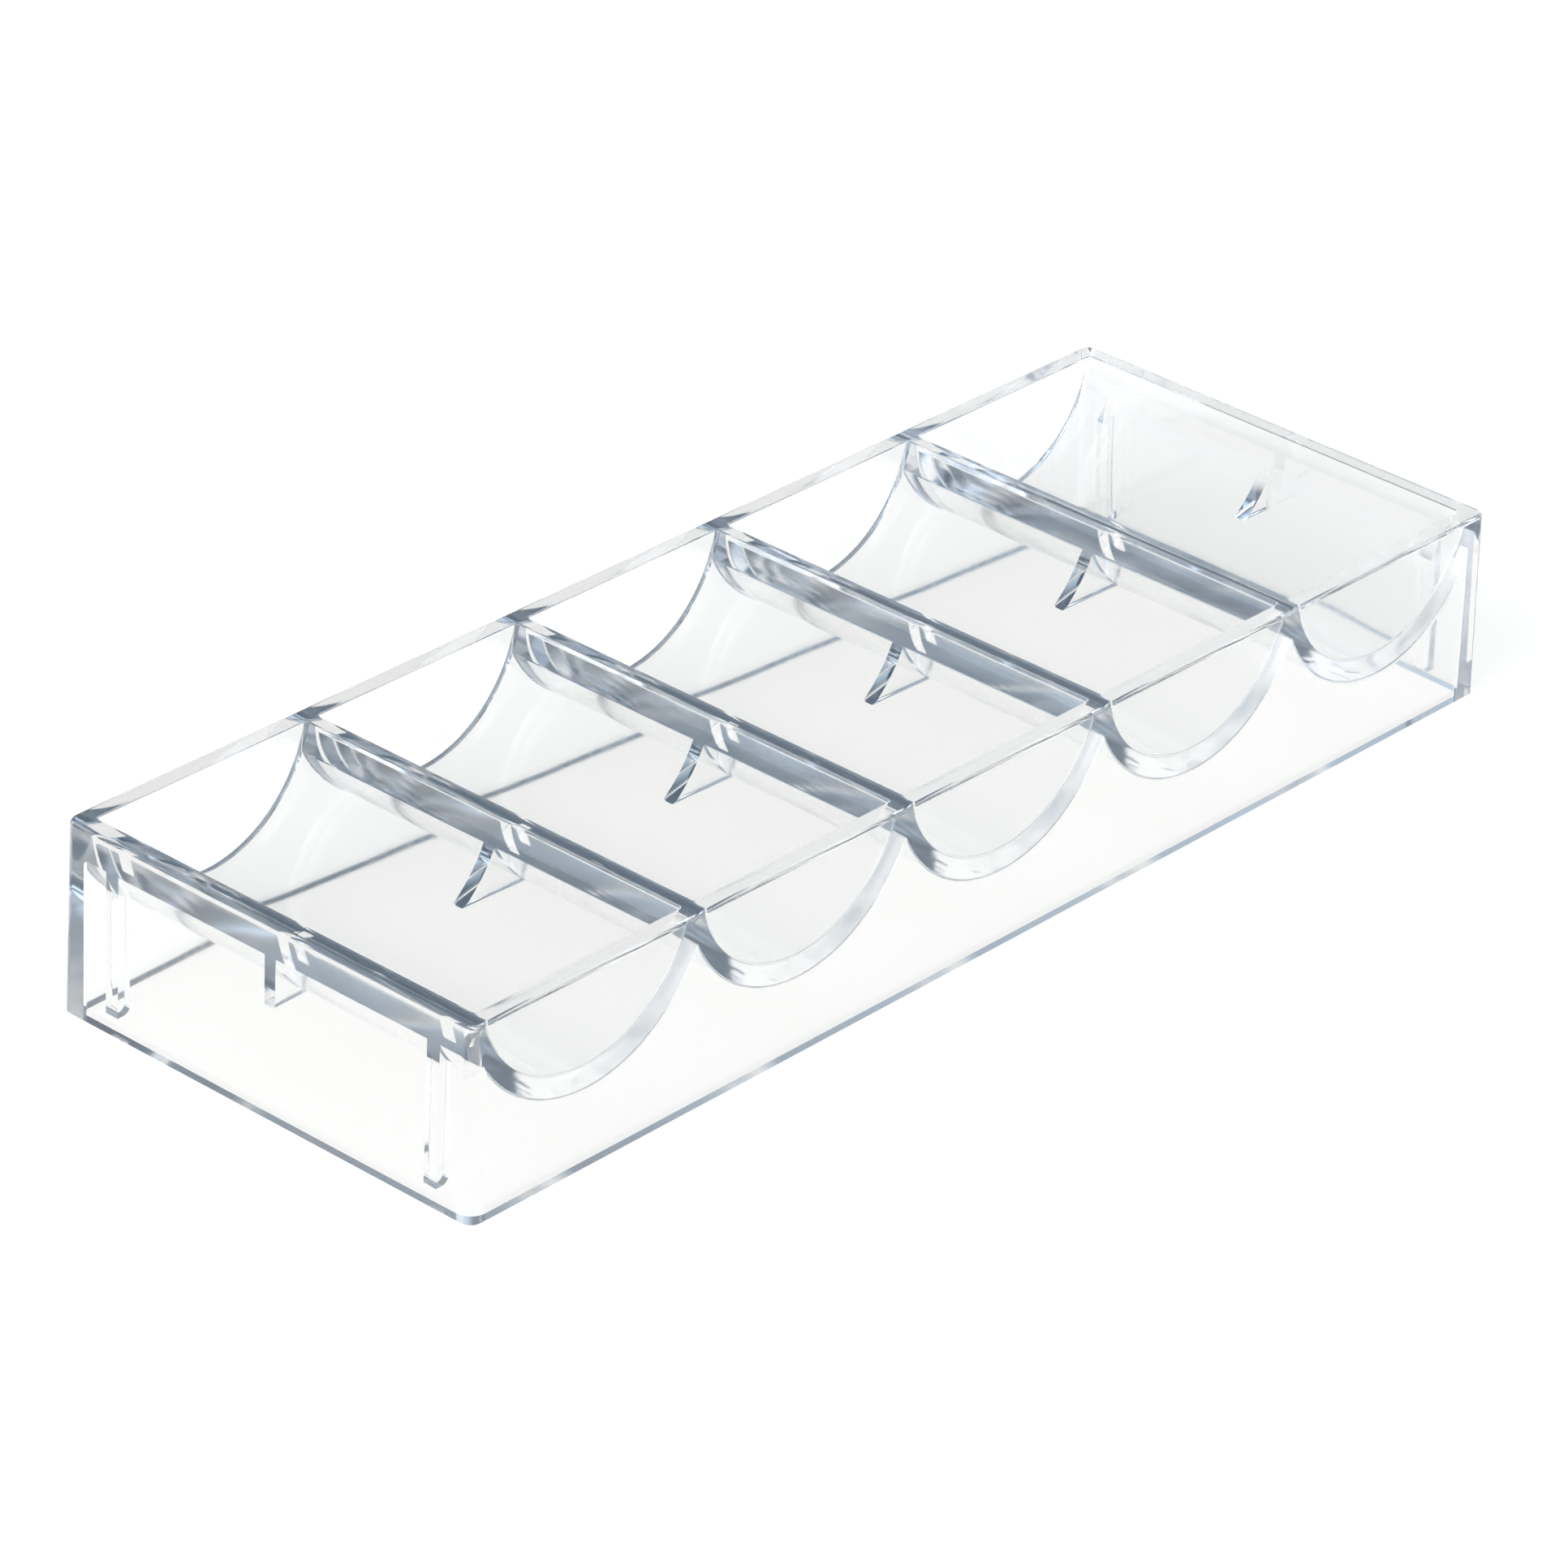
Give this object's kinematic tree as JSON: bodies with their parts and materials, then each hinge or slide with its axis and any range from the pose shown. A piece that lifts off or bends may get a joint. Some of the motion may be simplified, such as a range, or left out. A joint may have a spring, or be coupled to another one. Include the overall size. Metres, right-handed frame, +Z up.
{
  "type": "poker chip tray",
  "caption": "Clear rectangular poker chip tray: half-round pockets side by side between straight divider rails, with a skirt that is open underneath.",
  "frame": {"origin": "on the table, at the middle of the tray's footprint", "axes": "+X across the rows of chips, from the left end wall to the right one; +Y along the rows, towards the back wall; +Z up, out of the pockets"},
  "size_m": [0.2112, 0.0772, 0.0295],
  "materials": {
    "clear_plastic": "gloss"
  },
  "bodies": {
    "root": {"front_wall": "clear_plastic", "back_wall": "clear_plastic", "left_end_wall": "clear_plastic", "right_end_wall": "clear_plastic", "pocket_1": "clear_plastic", "pocket_2": "clear_plastic", "pocket_3": "clear_plastic", "pocket_4": "clear_plastic", "pocket_5": "clear_plastic", "divider_rail_1": "clear_plastic", "divider_gusset_1": "clear_plastic", "divider_rail_2": "clear_plastic", "divider_gusset_2": "clear_plastic", "divider_rail_3": "clear_plastic", "divider_gusset_3": "clear_plastic", "divider_rail_4": "clear_plastic", "divider_gusset_4": "clear_plastic", "left_end_gusset": "clear_plastic", "left_front_rib": "clear_plastic", "left_back_rib": "clear_plastic", "right_end_gusset": "clear_plastic", "right_front_rib": "clear_plastic", "right_back_rib": "clear_plastic"}
  },
  "joints": []
}
